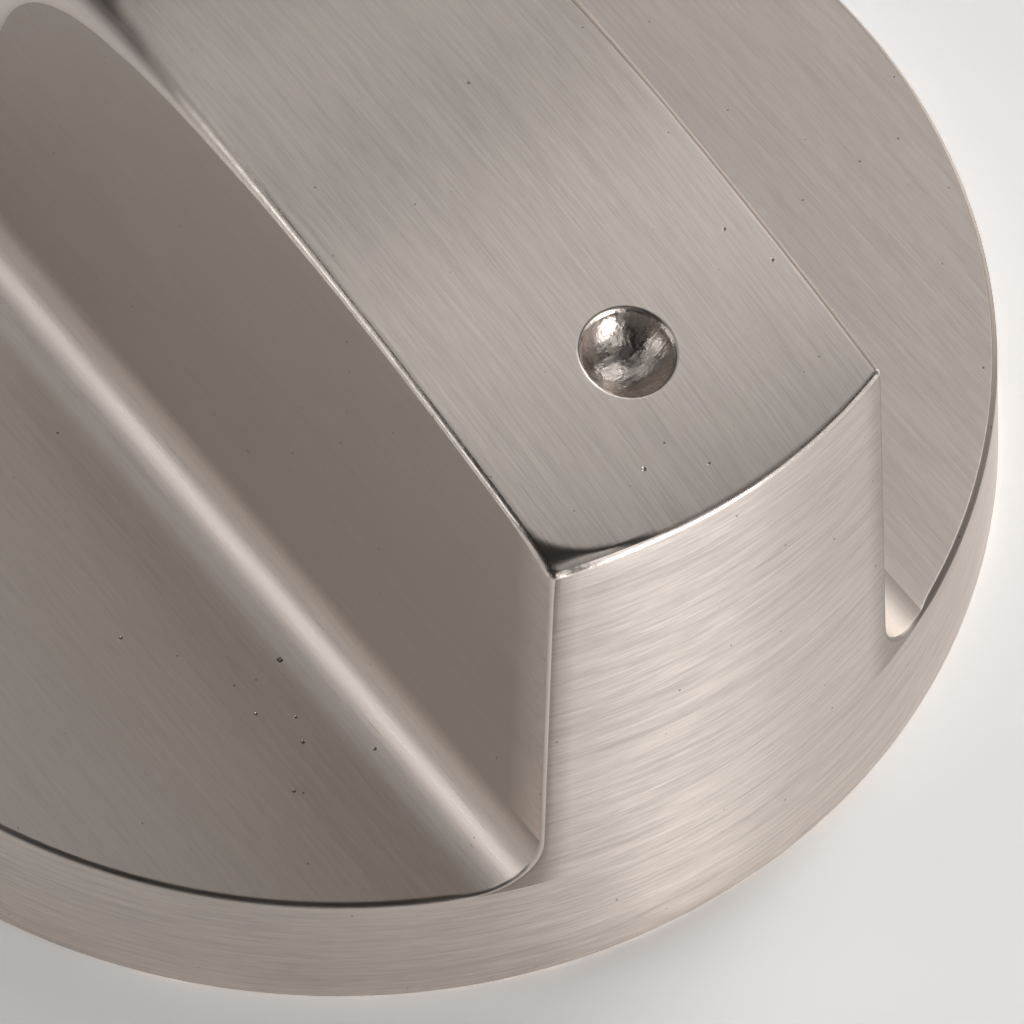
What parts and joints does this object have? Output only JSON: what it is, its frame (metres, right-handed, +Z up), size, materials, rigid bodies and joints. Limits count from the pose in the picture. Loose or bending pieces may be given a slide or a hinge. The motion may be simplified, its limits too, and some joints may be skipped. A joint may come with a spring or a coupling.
{
  "type": "stove knob",
  "caption": "Round control knob with a full-width grip bar, a pointer dimple at its front end and a sleeve underneath for a flatted appliance shaft.",
  "frame": {"origin": "centre of the bottom rim's plane, on the shaft axis", "axes": "+Z up along the shaft axis out of the appliance, bar along Y with its pointer end towards -Y, X across the bar"},
  "size_m": [0.04, 0.04, 0.0215],
  "materials": {
    "casting": "brushed satin nickel plating on a zinc casting",
    "hub": "moulded black nylon",
    "spring": "rolled spring steel"
  },
  "bodies": {
    "root": {"knob_body": "casting", "shaft_hub": "hub", "leaf_spring": "spring"}
  },
  "joints": []
}
